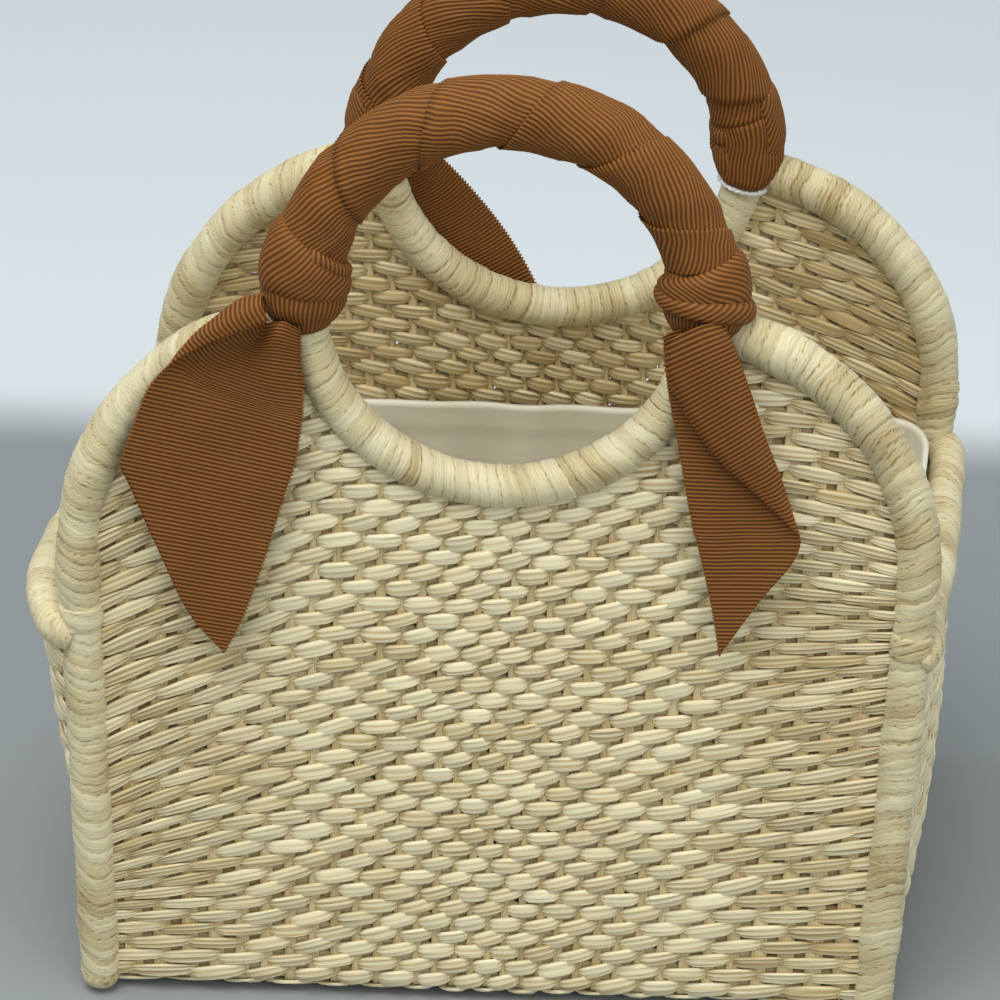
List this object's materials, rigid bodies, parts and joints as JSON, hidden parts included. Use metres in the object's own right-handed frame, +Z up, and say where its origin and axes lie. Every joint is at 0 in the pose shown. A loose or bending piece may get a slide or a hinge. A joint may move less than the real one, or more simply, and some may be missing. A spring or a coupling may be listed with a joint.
{
  "type": "flower girl basket",
  "caption": "Small woven straw basket bag with leaning panels, ribbon-wrapped ring handles with hanging ribbon tails, soft woven gussets and a cloth lining.",
  "frame": {"origin": "middle of the basket's box on the surface it stands on", "axes": "+Z up; +X to the right seen from the front; the front panel faces -Y"},
  "size_m": [0.241, 0.1324, 0.2519],
  "materials": {
    "cane": "satin",
    "binding_straw": "satin",
    "stake_straw": "matt",
    "weave_straw": "satin",
    "ribbon": "ribbed, slight sheen",
    "thread": "matt",
    "white_cord": "matt",
    "lining_cloth": "matt"
  },
  "bodies": {
    "basket_base": {"base_stakes": "stake_straw", "base_weave": "weave_straw", "left_gusset_stakes": "stake_straw", "left_gusset_weave": "weave_straw", "left_gusset_rod": "cane", "left_gusset_binding": "binding_straw", "right_gusset_stakes": "stake_straw", "right_gusset_weave": "weave_straw", "right_gusset_rod": "cane", "right_gusset_binding": "binding_straw", "lining": "lining_cloth"},
    "front_panel": {"front_rim_rod": "cane", "front_rim_binding": "binding_straw", "front_fold_cane": "cane", "front_stakes": "stake_straw", "front_weave": "weave_straw", "front_ring_core": "cane", "front_ring_binding": "binding_straw", "front_handle_roll": "binding_straw", "front_ribbon_wrap": "ribbon", "front_left_knot": "ribbon", "front_right_knot": "ribbon", "front_left_lashing": "thread", "front_right_lashing": "thread"},
    "back_panel": {"back_rim_rod": "cane", "back_rim_binding": "binding_straw", "back_fold_cane": "cane", "back_stakes": "stake_straw", "back_weave": "weave_straw", "back_ring_core": "cane", "back_ring_binding": "binding_straw", "back_handle_roll": "binding_straw", "back_ribbon_wrap": "ribbon", "back_left_knot": "ribbon", "back_right_knot": "ribbon", "back_left_lashing": "thread", "back_right_lashing": "thread", "back_tie_cord": "white_cord"},
    "front_left_tail": {"front_left_tail": "ribbon"},
    "front_right_tail": {"front_right_tail": "ribbon"},
    "back_left_tail": {"back_left_tail": "ribbon"},
    "back_right_tail": {"back_right_tail": "ribbon"}
  },
  "joints": [
    {"name": "front_panel_swing", "type": "hinge", "parent": "basket_base", "child": "front_panel", "pos_m": [0, -0.061, 0.0055], "axis": [1, 0, 0], "range_deg": [-8, 2], "stiffness_Nm_per_rad": 1.2, "deforming": ["left_gusset_stakes", "left_gusset_weave", "left_gusset_rod", "left_gusset_binding", "right_gusset_stakes", "right_gusset_weave", "right_gusset_rod", "right_gusset_binding", "lining"]},
    {"name": "back_panel_swing", "type": "hinge", "parent": "basket_base", "child": "back_panel", "pos_m": [0, 0.061, 0.0055], "axis": [-1, 0, 0], "range_deg": [-8, 2], "stiffness_Nm_per_rad": 1.2, "deforming": ["left_gusset_stakes", "left_gusset_weave", "left_gusset_rod", "left_gusset_binding", "right_gusset_stakes", "right_gusset_weave", "right_gusset_rod", "right_gusset_binding", "lining"]},
    {"name": "front_left_tail_swing", "type": "hinge", "parent": "front_panel", "child": "front_left_tail", "pos_m": [-0.0545, -0.05611, 0.19297], "axis": [-1, 0, 0], "range_deg": [0, 75]},
    {"name": "front_right_tail_swing", "type": "hinge", "parent": "front_panel", "child": "front_right_tail", "pos_m": [0.0415, -0.05611, 0.19297], "axis": [-1, 0, 0], "range_deg": [0, 75]},
    {"name": "back_left_tail_swing", "type": "hinge", "parent": "back_panel", "child": "back_left_tail", "pos_m": [-0.0415, 0.05611, 0.19297], "axis": [1, 0, 0], "range_deg": [0, 75]},
    {"name": "back_right_tail_swing", "type": "hinge", "parent": "back_panel", "child": "back_right_tail", "pos_m": [0.0545, 0.05611, 0.19297], "axis": [1, 0, 0], "range_deg": [0, 75]}
  ]
}
